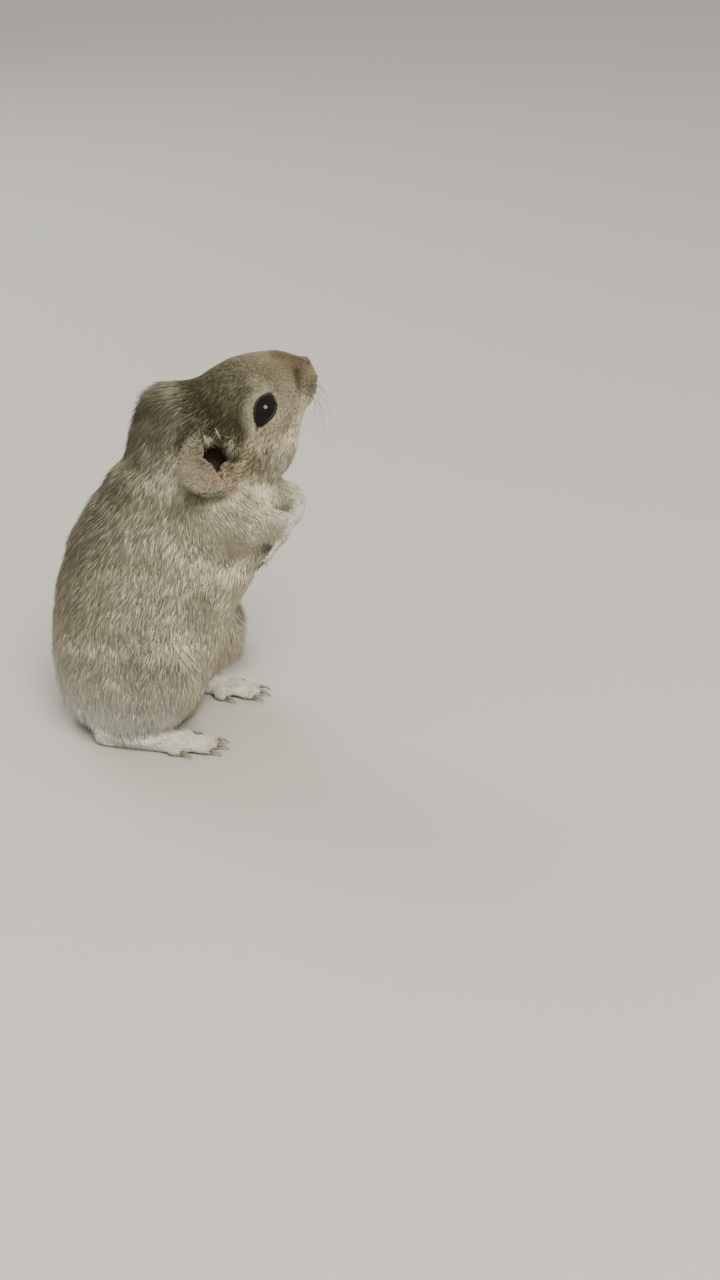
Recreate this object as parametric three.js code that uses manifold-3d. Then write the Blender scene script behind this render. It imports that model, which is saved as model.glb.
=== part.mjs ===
// A gerbil sitting up on its haunches, as a still, life-size model.
// Millimetres, +Z up. The body faces +X and its left side is +Y. The floor it sits on is Z = 0.
// The solids reach out to the tips of the short coat.
import * as THREE from 'three';
import { mergeVertices } from 'three/addons/utils/BufferGeometryUtils.js';
import Module from 'manifold-3d';

const wasm = await Module();
wasm.setup();

// Driving dimensions
const JOIN_GAP = 0.3;
const SEAT_CENTRE_X = -9.9;
const HEAD_LENGTH = 35;
const HEAD_YAW = 25;
const HEAD_PITCH = 55;
const HEAD_CENTRE = [18.7, 4, 74.9];
const EYE_RADIUS = 4.1;
const EYE_OPENING_LENGTH = 8.2;
const EYE_OPENING_HEIGHT = 4.8;
const EYE_SLIT_TILT = 12;
const LID_WALL = 0.8;
const MOUTH_LINE_WIDTH = 0.5;
const MOUTH_LINE_DEPTH = 0.9;
const EAR_LENGTH = 13.6;
const EAR_WIDTH = 12.4;
const EAR_DEPTH = 3.4;
const EAR_WALL = 1.1;
const HIND_FOOT_LENGTH = 29;
const LEFT_FOOT_ADVANCE = 2.5;
const TAIL_ROOT_RADIUS = 3.6;
const TAIL_TIP_RADIUS = 1.6;
const TAIL_SETTLE = 0.15;
const TUFT_LOCKS = 16;
const TUFT_LENGTH = 9;
const TUFT_SEED = 7;

// Colours of the grey agouti coat and the bare parts
const COLOUR = {
  back: 0x7b7664,
  flank: 0x908a75,
  head: 0x7c7759,
  ear: 0x92836c,
  foot: 0xa39f8f,
  tail: 0x857a62,
  tuft: 0x3a3428,
  eye: 0x14140f,
};

const v3 = (p) => new THREE.Vector3(...p);
const rad = THREE.MathUtils.degToRad;

// Closes a geometry: only positions are kept and shared corners are merged.
function closed(geometry) {
  geometry.deleteAttribute('normal');
  geometry.deleteAttribute('uv');
  return mergeVertices(geometry, 1e-4);
}

// A copy of a closed geometry with its surface moved out along the normals
function grown(geometry, distance) {
  const copy = geometry.clone();
  copy.computeVertexNormals();
  const place = copy.attributes.position;
  const normal = copy.attributes.normal;
  for (let i = 0; i < place.count; i += 1) {
    place.setXYZ(
      i,
      place.getX(i) + normal.getX(i) * distance,
      place.getY(i) + normal.getY(i) * distance,
      place.getZ(i) + normal.getZ(i) * distance,
    );
  }
  copy.deleteAttribute('normal');
  return copy;
}

function solid(geometry) {
  const vertProperties = Float32Array.from(geometry.attributes.position.array);
  const triVerts = Uint32Array.from(geometry.index.array);
  return new wasm.Manifold(new wasm.Mesh({ numProp: 3, vertProperties, triVerts }));
}

const fuse = (solids) => solids.reduce((whole, piece) => whole.add(piece));
const fuseShapes = (shapes) => fuse(shapes.map(solid));
const fuseGrown = (shapes, distance) => fuse(shapes.map((shape) => solid(grown(shape, distance))));

// The largest closed surface of a solid
function largest(whole) {
  const pieces = whole.decompose();
  return pieces.reduce((best, piece) => (piece.volume() > best.volume() ? piece : best));
}

// A rounded body along a midline. A station is [x, y, z, side, back, belly]: a place and three half sizes.
// The two ends close as half ellipsoids of the given lengths.
function loft(stations, { around = 24, along = 20, round = [6, 6], side = [0, 1, 0] } = {}) {
  const line = new THREE.CatmullRomCurve3(stations.map((s) => new THREE.Vector3(s[0], s[1], s[2])));
  const sizes = new THREE.CatmullRomCurve3(
    stations.map((s) => new THREE.Vector3(s[3], s[4], s[5])),
    false,
    'catmullrom',
    0.5,
  );
  const lengths = [0];
  const steps = 200;
  for (let i = 1; i <= steps; i += 1) {
    const stretch = line.getPoint(i / steps).distanceTo(line.getPoint((i - 1) / steps));
    lengths.push(lengths[i - 1] + stretch);
  }
  const total = lengths[steps];
  const travelled = (u) => {
    const at = Math.min(u * steps, steps - 1e-9);
    const below = Math.floor(at);
    return lengths[below] + (lengths[below + 1] - lengths[below]) * (at - below);
  };
  const roundness = (distance, length) => {
    const gap = Math.max(0, 1 - distance / length);
    return Math.sqrt(Math.max(0, 1 - gap * gap));
  };
  const sideAxis = v3(side);
  const geometry = closed(new THREE.SphereGeometry(1, around, along));
  const place = geometry.attributes.position;
  for (let i = 0; i < place.count; i += 1) {
    const [x, y, z] = [place.getX(i), place.getY(i), place.getZ(i)];
    const u = THREE.MathUtils.clamp((1 - y) / 2, 0, 1);
    const ring = Math.hypot(x, z);
    const centre = line.getPoint(u);
    const size = sizes.getPoint(u);
    const tangent = line.getTangent(u);
    const across = sideAxis.clone().addScaledVector(tangent, -sideAxis.dot(tangent)).normalize();
    const up = tangent.clone().cross(across);
    const done = travelled(u);
    const shrink = roundness(done, round[0]) * roundness(total - done, round[1]);
    if (ring > 1e-6) {
      centre.addScaledVector(across, (size.x * shrink * x) / ring);
      centre.addScaledVector(up, ((z > 0 ? size.y : size.z) * shrink * z) / ring);
    }
    place.setXYZ(i, centre.x, centre.y, centre.z);
  }
  return geometry;
}

// An ellipsoid with its centre and three half sizes
function ellipsoid([x, y, z], [a, b, c], around = 24, along = 16) {
  const geometry = new THREE.SphereGeometry(1, around, along);
  geometry.scale(a, b, c);
  geometry.translate(x, y, z);
  return closed(geometry);
}

// The same body on the other side of the midline
function mirrored(geometry) {
  const copy = geometry.clone();
  copy.scale(1, -1, 1);
  const index = copy.index.array;
  for (let i = 0; i < index.length; i += 3) {
    [index[i], index[i + 1]] = [index[i + 1], index[i]];
  }
  return copy;
}

const SIDES = [[1, 'left'], [-1, 'right']];
const sided = (geometry, side) => (side === 1 ? geometry : mirrored(geometry));
const bothSides = (geometry) => [geometry, mirrored(geometry)];

// The floor under the part: what reaches below it is cut off flat.
const floor = solid(closed(new THREE.BoxGeometry(400, 400, 100).translate(0, 0, -50)));

// Torso: rump on the floor, round back, belly, chest and shoulders, along the leaning spine
const torsoBody = loft(
  [
    [-10, 0, -3, 16, 15, 14],
    [-9.5, 0, 11, 18.5, 18.3, 17.5],
    [-7.8, 0, 24, 19.2, 19.6, 19.5],
    [-3.5, 0, 37, 18, 20.3, 20.5],
    [4, 0, 48.5, 15.4, 19.4, 19.5],
    [10.2, 0, 58, 12.6, 17, 16.3],
    [14.5, 0, 66, 10.8, 13, 12.8],
  ],
  { around: 26, along: 18, round: [10, 11] },
);

// Neck: from inside the shoulders to inside the back of the head, turned a little after the head
const neckBody = loft(
  [
    [4.5, 0, 54, 10.8, 15, 13],
    [6, -0.2, 62, 10.8, 15, 13],
    [9, 0.2, 69.5, 10.2, 15, 13],
    [12.5, 1.8, 75.8, 9.2, 12.4, 11],
  ],
  { around: 20, along: 12, round: [8, 7] },
);

// Head frame: x to the nose, y to the left, z to the crown, with its origin midway between the eyes
const headTurn = new THREE.Matrix4()
  .makeTranslation(...HEAD_CENTRE)
  .multiply(new THREE.Matrix4().makeRotationZ(rad(HEAD_YAW)))
  .multiply(new THREE.Matrix4().makeRotationY(rad(-HEAD_PITCH)));
const onHead = (geometry) => geometry.clone().applyMatrix4(headTurn);

// Skull with cheeks and muzzle, from the nape to the tip of the nose
const NOSE_X = HEAD_LENGTH * 0.365;
const skullBody = loft(
  [
    [-HEAD_LENGTH * 0.57, 0, -2.5, 10.2, 13.4, 8.5],
    [-13, 0, -2.2, 11.6, 16.2, 10.8],
    [-6, 0, -2.4, 11.9, 16, 11.8],
    [0, 0, -3.2, 10, 14.1, 9.6],
    [4.2, 0, -4, 7.9, 11.7, 6.8],
    [8, 0, -4.8, 6.1, 8.8, 4.5],
    [10.6, 0, -5.3, 4.7, 6.2, 3.2],
    [NOSE_X, 0, -5.6, 3.4, 3.7, 2.4],
  ],
  { around: 24, along: 18, round: [8, 3] },
);
// Lips: the swelling of the whisker bed either side, the chin below and the nose over them
const whiskerPad = ellipsoid([NOSE_X - 4.4, 2.3, -6.6], [3.8, 2.7, 2.4], 12, 8);
const chin = ellipsoid([NOSE_X - 6.6, 0, -8.6], [3.9, 3, 2], 12, 8);
const noseTip = ellipsoid([NOSE_X - 0.6, 0, -4.8], [1.6, 1.8, 1.2], 10, 8);
const nostril = ellipsoid([0, 0, 0], [0.9, 0.5, 0.42], 8, 6)
  .rotateZ(rad(35))
  .translate(NOSE_X + 0.7, 1.15, -5.2);

// The mouth line is a groove as deep all along, cut by a thin curved plate that stops short of the core.
// The groove under the nose parts the upper lip.
function mouthGroove(lips) {
  const halfWidth = MOUTH_LINE_WIDTH / 2;
  const [frontZ, middleZ, cornerZ] = [-8.3, -8.1, -9.6];
  const [frontX, middleX, cornerX] = [NOSE_X + 2, NOSE_X - 3.5, NOSE_X - 7.6];
  const line = new THREE.Shape();
  line.moveTo(frontX, frontZ + halfWidth);
  line.quadraticCurveTo(middleX, middleZ + halfWidth, cornerX, cornerZ + halfWidth);
  line.lineTo(cornerX, cornerZ - halfWidth);
  line.quadraticCurveTo(middleX, middleZ - halfWidth, frontX, frontZ - halfWidth);
  const width = 16;
  const plate = new THREE.ExtrudeGeometry(line, { depth: width, bevelEnabled: false, curveSegments: 6 });
  plate.translate(0, 0, -width / 2);
  plate.rotateX(Math.PI / 2);
  const cleft = new THREE.BoxGeometry(6, MOUTH_LINE_WIDTH * 0.8, 2.8).translate(NOSE_X - 1, 0, -7);
  const core = fuseGrown(lips, -MOUTH_LINE_DEPTH);
  return fuseShapes([closed(plate), closed(cleft)]).subtract(core);
}

// Eye frame: x along the slit towards the nose, y out along the gaze, z to the upper lid
const EYE_PLACE = [-0.4, 6.3, -1.1];
const gaze = v3([0.2, 1, 0.14]).normalize();
const slit = v3([Math.cos(rad(EYE_SLIT_TILT)), 0, Math.sin(rad(EYE_SLIT_TILT))]);
slit.addScaledVector(gaze, -gaze.dot(slit)).normalize();
const eyeTurn = new THREE.Matrix4()
  .makeBasis(slit, gaze, slit.clone().cross(gaze))
  .setPosition(...EYE_PLACE);
const eyeBall = closed(new THREE.SphereGeometry(EYE_RADIUS, 14, 10)).applyMatrix4(eyeTurn);
const lidReach = EYE_RADIUS + JOIN_GAP + LID_WALL;
const lidMound = ellipsoid([0, 0, 0], [lidReach * 1.3, lidReach, lidReach * 1.2], 18, 10).applyMatrix4(eyeTurn);

// The almond opening between the lids, pointed at the back corner and round at the front
function eyeOpening() {
  const [a, b] = [EYE_OPENING_LENGTH / 2, EYE_OPENING_HEIGHT / 2];
  const almond = new THREE.Shape();
  almond.moveTo(-a, -0.15 * b);
  almond.bezierCurveTo(-a * 0.45, b * 1.25, a * 0.75, b * 1.35, a, 0.1 * b);
  almond.bezierCurveTo(a * 0.8, -b * 1.3, -a * 0.35, -b * 1.3, -a, -0.15 * b);
  const reach = EYE_RADIUS + 4;
  const prism = new THREE.ExtrudeGeometry(almond, { depth: reach, bevelEnabled: false, curveSegments: 8 });
  prism.rotateX(-Math.PI / 2);
  return closed(prism).applyMatrix4(eyeTurn);
}

// Ears: thin round cups, sunk in the head at the front and standing off it at the back.
// Ear frame: z from the root to the rim at the back, y out of the opening, x across.
const EAR_PLACE = [-14.2, 12.6, 4.15];
const earBack = v3([-0.85, 0.45, 0.5]).normalize();
const earOut = v3([0.5, 0.8, 0.33]);
earOut.addScaledVector(earBack, -earBack.dot(earOut)).normalize();
const earTurn = new THREE.Matrix4()
  .makeBasis(earOut.clone().cross(earBack), earOut, earBack)
  .setPosition(...EAR_PLACE);

function earCup() {
  const cup = closed(new THREE.SphereGeometry(1, 20, 10));
  const place = cup.attributes.position;
  for (let i = 0; i < place.count; i += 1) {
    const [x, y, z] = [place.getX(i), place.getY(i), place.getZ(i)];
    const rim = Math.hypot(x, z);
    const wall = Math.sign(y) * Math.min(1, Math.abs(y) * 1.8) * (EAR_WALL / 2);
    const bowl = -EAR_DEPTH * (1 - rim ** 2.4) * (1 - 0.35 * z);
    const width = (EAR_WIDTH / 2) * (1 - 0.12 * Math.max(0, -z));
    place.setXYZ(i, x * width, bowl + wall, (z * EAR_LENGTH) / 2);
  }
  return cup.applyMatrix4(earTurn);
}

// The room inside the cup and in front of it, which the head's coat leaves free
const earHollow = ellipsoid(
  [0, 1.2, 0],
  [EAR_WIDTH / 2 - 0.5, EAR_DEPTH + 1.6, EAR_LENGTH / 2 - 0.5],
  18,
  10,
).applyMatrix4(earTurn);

// Haunches: the thigh and the shank under the coat, either side of the rump
function haunch(side) {
  const advance = side === 1 ? LEFT_FOOT_ADVANCE : 0;
  const body = loft(
    [
      [-21, 9, 13, 7, 10, 10],
      [-10, 13.2, 17, 8.8, 14.6, 15.5],
      [advance / 2, 14.6, 16.3, 8.2, 13, 13.8],
      [9.5 + advance, 14.2, 12.8, 5.6, 7.8, 8.3],
    ],
    { around: 20, along: 14, round: [9, 7] },
  );
  return sided(body, side);
}

// Hind feet: heel, long sole and five toes with claws, flat on the floor
function hindFoot(side) {
  const advance = side === 1 ? LEFT_FOOT_ADVANCE : 0;
  const heel = -14 + advance;
  const ball = heel + HIND_FOOT_LENGTH * 0.72;
  const footY = 14.2;
  const sole = loft(
    [
      [heel - 1, 15, 2.6, 3.2, 3.4, 3.2],
      [heel + 8, 15, 2.4, 3.1, 3.5, 3],
      [ball - 4, footY + 0.4, 2, 3.7, 2.8, 2.6],
      [ball + 1.5, footY, 1.6, 4, 2, 2],
    ],
    { around: 12, along: 9, round: [4, 3] },
  );
  const pieces = [sided(sole, side)];
  const toeLengths = [4.6, 7, 7.6, 6.8, 4.4];
  toeLengths.forEach((length, i) => {
    const outer = i === 0 || i === 4;
    const fan = rad((i - 2) * 8 - 5);
    const [dx, dy] = [Math.cos(fan), Math.sin(fan)];
    const x = ball - 1 - (outer ? 3.5 : 0);
    const y = footY + (i - 2) * 1.75;
    const along = (reach, z, ...sizes) => [x + dx * reach, y + dy * reach, z, ...sizes];
    const toe = loft(
      [
        along(0, 1.5, 1.2, 1.4, 1.4),
        along(length / 2, 1.7, 1.15, 1.3, 1.6),
        along(length, 1.15, 1, 1, 1.1),
      ],
      { around: 7, along: 5, round: [1.2, 1.2] },
    );
    const claw = loft(
      [
        along(length - 1, 1.5, 0.55, 0.55, 0.55),
        along(length + 1, 1.3, 0.45, 0.5, 0.5),
        along(length + 2.4, 0.65, 0.3, 0.3, 0.3),
      ],
      { around: 5, along: 3, round: [0.5, 0.5] },
    );
    pieces.push(sided(toe, side), sided(claw, side));
  });
  return pieces;
}

// Forelimbs: the upper arm lies in the chest's side, the forearm comes forward and the paw hangs down.
const armBody = loft(
  [
    [11.5, 7.5, 62.5, 5.5, 7.5, 7.5],
    [15.8, 10.6, 54.8, 5, 6.4, 6.2],
    [20.8, 9.8, 51.6, 4.1, 4.7, 4.4],
    [26, 6.6, 54.7, 2.8, 2.9, 2.9],
  ],
  { around: 14, along: 10, round: [5, 2.4] },
);
const pawBody = loft(
  [
    [25.9, 6.6, 54.1, 2.4, 2.3, 2.3],
    [27.3, 6.1, 51.8, 2.4, 1.9, 1.9],
    [26.7, 5.7, 49, 2.6, 1.7, 1.7],
    [25.1, 5.4, 46.2, 2.2, 1.4, 1.4],
  ],
  { around: 12, along: 8, round: [2, 1.6] },
);

function forepaw(side) {
  const pieces = [sided(pawBody, side)];
  for (let i = 0; i < 4; i += 1) {
    const place = i - 1.5;
    const y = 5.4 + place * 1.25;
    const short = i === 0 || i === 3 ? 0.8 : 0;
    const finger = loft(
      [
        [25.7, y, 47.6, 0.75, 0.8, 0.8],
        [24.3, y + place * 0.3, 44.4 + short * 0.5, 0.7, 0.75, 0.75],
        [22.3, y + place * 0.5, 42.3 + short, 0.6, 0.6, 0.6],
      ],
      { around: 6, along: 5, round: [0.8, 0.8] },
    );
    const claw = loft(
      [
        [22.9, y + place * 0.45, 42.9 + short, 0.4, 0.4, 0.4],
        [21.6, y + place * 0.55, 41.4 + short, 0.35, 0.35, 0.35],
        [21, y + place * 0.6, 39.9 + short, 0.26, 0.26, 0.26],
      ],
      { around: 5, along: 3, round: [0.4, 0.4] },
    );
    pieces.push(sided(finger, side), sided(claw, side));
  }
  return pieces;
}

// Tail: leaves the rump low down and lies on the floor round the left side of the body.
// A place is [x, y, how far it is lifted off the floor].
const TAIL_LINE = [
  [-18, 0, 4],
  [-24.8, 8, 1],
  [-28.3, 19, 0],
  [-27.6, 31, 0],
  [-22.5, 41, 0],
  [-13.5, 46.5, 0],
  [-4.5, 44, 0],
  [-0.5, 36.5, 0],
];
const TAIL_CUTS = [0.42, 0.72];
const tailRadius = (t) => THREE.MathUtils.lerp(TAIL_ROOT_RADIUS, TAIL_TIP_RADIUS, t);
const tailStations = TAIL_LINE.map(([x, y, lift], i) => {
  const size = tailRadius(i / (TAIL_LINE.length - 1));
  return [x, y, size - TAIL_SETTLE + lift, size, size, size];
});
const tailCurve = new THREE.CatmullRomCurve3(tailStations.map((s) => v3(s.slice(0, 3))));
const tailBody = loft(tailStations, { around: 9, along: 32, round: [3, 2], side: [0, 0, 1] });

// A thin slab square to the tail, which parts it into two lengths
function tailSlab(t) {
  const slab = new THREE.BoxGeometry(JOIN_GAP, 12, 12);
  const turn = new THREE.Quaternion().setFromUnitVectors(v3([1, 0, 0]), tailCurve.getTangent(t));
  slab.applyQuaternion(turn);
  slab.translate(...tailCurve.getPoint(t));
  return solid(closed(slab));
}

// The tuft: flat tapered locks that lie back along the end of the tail and spread a little
function tuft() {
  let state = TUFT_SEED;
  const random = () => {
    state = (state * 16807) % 2147483647;
    return state / 2147483647;
  };
  const locks = [];
  for (let i = 0; i < TUFT_LOCKS; i += 1) {
    const t = 0.84 + 0.16 * ((i + random()) / TUFT_LOCKS);
    const turn = i * 2.4 + random() * 0.5;
    const tangent = tailCurve.getTangent(t);
    const level = v3([0, 0, 1]).cross(tangent).normalize();
    const out = level.multiplyScalar(Math.cos(turn)).addScaledVector(v3([0, 0, 1]), Math.abs(Math.sin(turn)));
    const root = tailCurve.getPoint(t).addScaledVector(out, tailRadius(t) * 0.4);
    const length = TUFT_LENGTH * (0.75 + 0.35 * random());
    const splay = 0.2 + 0.12 * random();
    const middle = root.clone().addScaledVector(tangent, length * 0.5).addScaledVector(out, length * splay * 0.8);
    const tip = root.clone().addScaledVector(tangent, length).addScaledVector(out, length * splay);
    const across = tangent.clone().cross(out).normalize();
    locks.push(
      loft(
        [
          [...root, 0.9, 0.5, 0.5],
          [...middle, 0.85, 0.34, 0.34],
          [...tip, 0.3, 0.22, 0.22],
        ],
        { around: 5, along: 4, round: [0.6, 1.2], side: across.toArray() },
      ),
    );
  }
  return locks;
}

// Puts a finished solid in the group under its name
const gerbil = new THREE.Group();
function addMesh(name, body, colour, roughness = 0.9) {
  const { vertProperties, triVerts, numProp } = largest(body).getMesh();
  const corners = new Float32Array((vertProperties.length / numProp) * 3);
  for (let i = 0; i < corners.length / 3; i += 1) {
    corners.set(vertProperties.subarray(i * numProp, i * numProp + 3), i * 3);
  }
  const geometry = new THREE.BufferGeometry();
  geometry.setAttribute('position', new THREE.BufferAttribute(corners, 3));
  geometry.setIndex(new THREE.BufferAttribute(Uint32Array.from(triVerts), 1));
  geometry.computeVertexNormals();
  const material = new THREE.MeshStandardMaterial({ color: colour, roughness, metalness: 0 });
  const mesh = new THREE.Mesh(geometry, material);
  mesh.name = name;
  gerbil.add(mesh);
}

// Nodes that the flesh stands clear of: the eyes, ears, hind feet and forepaws
const spaces = [];
function addNode(name, pieces, colour, roughness) {
  addMesh(name, fuseShapes(pieces).subtract(floor), colour, roughness);
  spaces.push(fuseGrown(pieces, JOIN_GAP));
}
for (const [side, word] of SIDES) {
  addNode(`eye_${word}`, [onHead(sided(eyeBall, side))], COLOUR.eye, 0.15);
  addNode(`ear_${word}`, [onHead(sided(earCup(), side))], COLOUR.ear);
  addNode(`hind_foot_${word}`, hindFoot(side), COLOUR.foot);
  addNode(`forepaw_${word}`, forepaw(side), COLOUR.foot);
}

// Head, neck, torso, arms and thighs are one body at first, with the openings of the face cut in.
const lips = [skullBody, ...bothSides(whiskerPad), chin];
const headPieces = [...lips, noseTip, ...bothSides(lidMound)].map(onHead);
const limbs = SIDES.flatMap(([side]) => [haunch(side), sided(armBody, side)]);
const hollows = [eyeOpening(), nostril, earHollow].flatMap(bothSides).map(onHead);
let flesh = fuseShapes([...headPieces, neckBody, torsoBody, ...limbs])
  .subtract(fuse(spaces))
  .subtract(fuseShapes(hollows))
  .subtract(mouthGroove(lips).transform(headTurn.toArray()))
  .subtract(floor);

// A region then takes each node out of it, so that the nodes meet face to face.
function takeNode(name, region, colour) {
  addMesh(name, flesh.intersect(solid(region)), colour);
  flesh = flesh.subtract(solid(grown(region, JOIN_GAP)));
}
const armRegion = ellipsoid([18, 11.5, 53.6], [11.5, 8, 9], 22, 10);
const headRegion = onHead(ellipsoid([-4, 0, -1], [18.8, 18, 15.5], 24, 14));
const neckRegion = ellipsoid([8, 0.5, 73], [26, 26, 17.5], 24, 14);
const thighRegion = (side) => {
  const advance = side === 1 ? LEFT_FOOT_ADVANCE : 0;
  return ellipsoid([-4.5 + advance / 2, 20, 17], [20.5 + advance / 2, 15, 16.7], 28, 12);
};
for (const [side, word] of SIDES) {
  takeNode(`arm_${word}`, sided(armRegion, side), COLOUR.flank);
  takeNode(`thigh_${word}`, sided(thighRegion(side), side), COLOUR.flank);
}
takeNode('head', headRegion, COLOUR.head);
takeNode('neck', neckRegion, COLOUR.back);
addMesh('torso', flesh, COLOUR.back);

// The tail stands clear of the rump and is parted into three lengths; the last one carries the tuft.
const rump = solid(grown(torsoBody, JOIN_GAP));
const tail = TAIL_CUTS.reduce((rest, t) => rest.subtract(tailSlab(t)), solid(tailBody).subtract(rump));
const tailLengths = tail.subtract(floor).decompose();
tailLengths.sort((one, other) => other.volume() - one.volume());
addMesh('tail_base', tailLengths[0], COLOUR.tail);
addMesh('tail_middle', tailLengths[1], COLOUR.tail);
addMesh('tail_tip', tailLengths[2].add(fuseShapes(tuft())).subtract(floor), COLOUR.tuft);

// The origin is the middle of the flat under the rump.
gerbil.position.x = -SEAT_CENTRE_X;

export default gerbil;
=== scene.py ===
import math

import bmesh
import bpy
import numpy as np
from mathutils import Matrix, Vector
from mathutils.bvhtree import BVHTree


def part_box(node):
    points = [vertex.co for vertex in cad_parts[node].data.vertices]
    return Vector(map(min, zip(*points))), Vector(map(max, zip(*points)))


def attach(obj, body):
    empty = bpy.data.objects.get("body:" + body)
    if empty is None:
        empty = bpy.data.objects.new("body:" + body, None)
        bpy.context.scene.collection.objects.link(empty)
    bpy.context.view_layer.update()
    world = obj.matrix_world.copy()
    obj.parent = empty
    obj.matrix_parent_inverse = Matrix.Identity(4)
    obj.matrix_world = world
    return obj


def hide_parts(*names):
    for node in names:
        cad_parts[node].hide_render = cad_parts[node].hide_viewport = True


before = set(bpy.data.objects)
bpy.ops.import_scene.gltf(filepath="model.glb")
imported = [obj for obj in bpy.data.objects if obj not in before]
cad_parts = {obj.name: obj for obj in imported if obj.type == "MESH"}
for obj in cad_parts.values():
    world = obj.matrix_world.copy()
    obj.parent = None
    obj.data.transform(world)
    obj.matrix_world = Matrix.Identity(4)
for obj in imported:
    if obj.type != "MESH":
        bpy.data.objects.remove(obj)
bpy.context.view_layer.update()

# Camera: it looks down on the animal's right side from a little in front, as the photo does.
# The animal sits left of the middle, and the picture is taken as 720 by 1280.
MM = 0.001
CAMERA_AZIMUTH = math.radians(12)
CAMERA_ELEVATION = math.radians(25)
CAMERA_PLACE = Vector((128.4, -359.9, 194.9)) * MM
PICTURE_HEIGHT = 1280
FOCAL_PIXELS = 1875
SENSOR = 36


def add_object(name, data):
    thing = bpy.data.objects.new(name, data)
    bpy.context.scene.collection.objects.link(thing)
    return thing


look_back = Vector((
    math.sin(CAMERA_AZIMUTH) * math.cos(CAMERA_ELEVATION),
    -math.cos(CAMERA_AZIMUTH) * math.cos(CAMERA_ELEVATION),
    math.sin(CAMERA_ELEVATION),
))
lens = bpy.data.cameras.new("camera")
lens.sensor_width = SENSOR
lens.lens = FOCAL_PIXELS / PICTURE_HEIGHT * SENSOR
lens.clip_start = 0.01
lens.clip_end = 10
camera = add_object("camera", lens)
camera.location = CAMERA_PLACE
camera.rotation_mode = "QUATERNION"
camera.rotation_quaternion = (-look_back).to_track_quat("-Z", "Y")
bpy.context.scene.camera = camera

# Floor and light: a plain pale floor that fills the view, a pale room round it,
# one wide soft lamp above the animal's right shoulder and a weaker one behind it.
FLOOR_HALF = 2.0
FLOOR_COLOUR = (0.47, 0.45, 0.41, 1)
ROOM_COLOUR = (1.0, 0.985, 0.95, 1)
ROOM_STRENGTH = 0.82


def new_material(name, roughness):
    material = bpy.data.materials.new(name)
    material.use_nodes = True
    shade = material.node_tree.nodes["Principled BSDF"]
    shade.inputs["Roughness"].default_value = roughness
    return material, shade


def mesh_of(form, name):
    mesh = bpy.data.meshes.new(name)
    form.to_mesh(mesh)
    form.free()
    return mesh


floor_form = bmesh.new()
bmesh.ops.create_grid(floor_form, x_segments=1, y_segments=1, size=FLOOR_HALF)
floor_mesh = mesh_of(floor_form, "floor")
floor = add_object("floor", floor_mesh)
floor_paint, shade = new_material("floor_paint", roughness=0.7)
shade.inputs["Base Color"].default_value = FLOOR_COLOUR
floor_mesh.materials.append(floor_paint)

room = bpy.data.worlds.new("room")
room.use_nodes = True
room.node_tree.nodes["Background"].inputs["Color"].default_value = ROOM_COLOUR
room.node_tree.nodes["Background"].inputs["Strength"].default_value = ROOM_STRENGTH
bpy.context.scene.world = room


def soft_lamp(name, place, target, size, power, colour):
    lamp = bpy.data.lights.new(name, "AREA")
    lamp.shape = "DISK"
    lamp.size = size
    lamp.energy = power
    lamp.color = colour
    holder = add_object(name, lamp)
    holder.location = place
    holder.rotation_mode = "QUATERNION"
    holder.rotation_quaternion = (Vector(target) - Vector(place)).to_track_quat("-Z", "Y")


soft_lamp(
    "key_lamp", place=(0.35, -0.55, 0.75), target=(0.01, 0, 0.045),
    size=0.4, power=11.5, colour=(1.0, 0.965, 0.88),
)
soft_lamp(
    "back_lamp", place=(-0.55, 0.45, 0.6), target=(0.0, 0, 0.05),
    size=0.5, power=4, colour=(1.0, 0.98, 0.94),
)

# Head frame: x to the nose, y to the animal's left, z to the crown.
# The head is thrown up and turned a little away. Its frame starts just above the middle
# between the eyes.
HEAD_YAW = math.radians(25)
HEAD_PITCH = math.radians(55)
NOSE_X = 12.8 * MM


def in_mm(*values):
    return np.array(values) * MM


def box_centre(node):
    low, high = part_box(node)
    return (np.array(low) + np.array(high)) / 2


EYES_FROM_START = in_mm(-0.4, 0, -1.1)
eye_places = {side: box_centre(f"eye_{side}") for side in ("left", "right")}
head_axes = np.array(Matrix.Rotation(HEAD_YAW, 3, "Z") @ Matrix.Rotation(-HEAD_PITCH, 3, "Y"))
head_place = (eye_places["left"] + eye_places["right"]) / 2 - head_axes @ EYES_FROM_START


def to_head(points):
    return (points - head_place) @ head_axes


def from_head(points):
    return np.asarray(points) @ head_axes.T + head_place


def length_of(vectors):
    return np.linalg.norm(vectors, axis=1)


def unit(vectors):
    return vectors / np.maximum(np.linalg.norm(vectors, axis=-1, keepdims=True), 1e-12)


def fade(low, high, value):
    """Rises softly from 0 at low to 1 at high, or falls where high is less than low."""
    t = np.clip((value - low) / (high - low), 0, 1)
    return t * t * (3 - 2 * t)


def fade_mm(low, high, value):
    return fade(low * MM, high * MM, value)


def mix(first, second, share):
    """Blends colours, or single tones, by a share for each point."""
    first, second = np.asarray(first), np.asarray(second)
    return first + (second - first) * share[:, None]


def near_line(points, start, end):
    """Distance from each point to a line between two places, and how far along it that is."""
    start, end = np.asarray(start, float), np.asarray(end, float)
    along = end - start
    t = np.clip((points - start) @ along / (along @ along), 0, 1)
    return length_of(points - start - t[:, None] * along), t


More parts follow.
